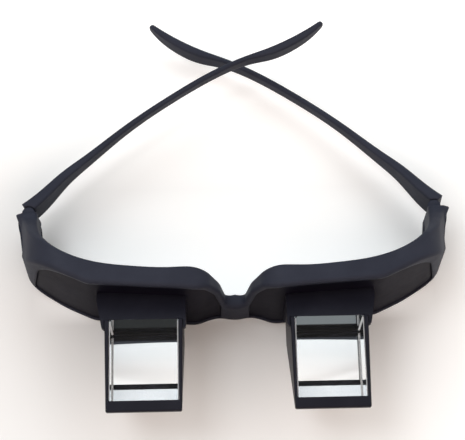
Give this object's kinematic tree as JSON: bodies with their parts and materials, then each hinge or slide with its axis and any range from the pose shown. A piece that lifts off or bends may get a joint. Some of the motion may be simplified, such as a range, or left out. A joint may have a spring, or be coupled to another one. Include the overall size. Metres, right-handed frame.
{
  "type": "prism bed glasses",
  "caption": "Dark glasses with a right-angle prism box on each side that turns the view down; temples fold on screw hinges. Shown upside down.",
  "frame": {"origin": "middle of the flat brow edge under the bridge, on which the glasses lie upside down", "axes": "+Z from the brow edge towards the cheek edge, -Y ahead of the face along the prism boxes, +Y towards the temples, +X the side of the wearer's right eye"},
  "size_m": [0.1606, 0.1602, 0.04],
  "materials": {
    "frame_plastic": "soft-touch charcoal",
    "panel_plastic": "satin black",
    "housing_plastic": "fine-grained black",
    "trim_plastic": "matt black",
    "prism_glass": "polished",
    "silvered_back": "silvered",
    "pale_foam": "closed-cell foam",
    "screw_steel": "turned"
  },
  "bodies": {
    "front": {"frame_front": "frame_plastic", "left_lens_panel": "panel_plastic", "right_lens_panel": "panel_plastic", "left_prism_socket": "housing_plastic", "right_prism_socket": "housing_plastic", "left_prism_housing": "housing_plastic", "right_prism_housing": "housing_plastic", "left_eyepiece_trim": "trim_plastic", "right_eyepiece_trim": "trim_plastic", "left_housing_cover": "trim_plastic", "right_housing_cover": "trim_plastic", "left_prism": "prism_glass", "right_prism": "prism_glass", "left_mirror_plate": "silvered_back", "right_mirror_plate": "silvered_back", "left_packing_strip": "pale_foam", "right_packing_strip": "pale_foam", "left_hinge_screw": "screw_steel", "right_hinge_screw": "screw_steel"},
    "left_temple_body": {"left_temple": "frame_plastic"},
    "right_temple_body": {"right_temple": "frame_plastic"}
  },
  "joints": [
    {"name": "left_temple_fold", "type": "hinge", "parent": "front", "child": "left_temple_body", "pos_m": [-0.0752, 0.0337, 0.014], "axis": [0.0872, 0, -0.9962], "range_deg": [-50.5, 31.5]},
    {"name": "right_temple_fold", "type": "hinge", "parent": "front", "child": "right_temple_body", "pos_m": [0.0752, 0.0337, 0.014], "axis": [-0.0872, 0, 0.9962], "range_deg": [-46.5, 35.5]}
  ]
}
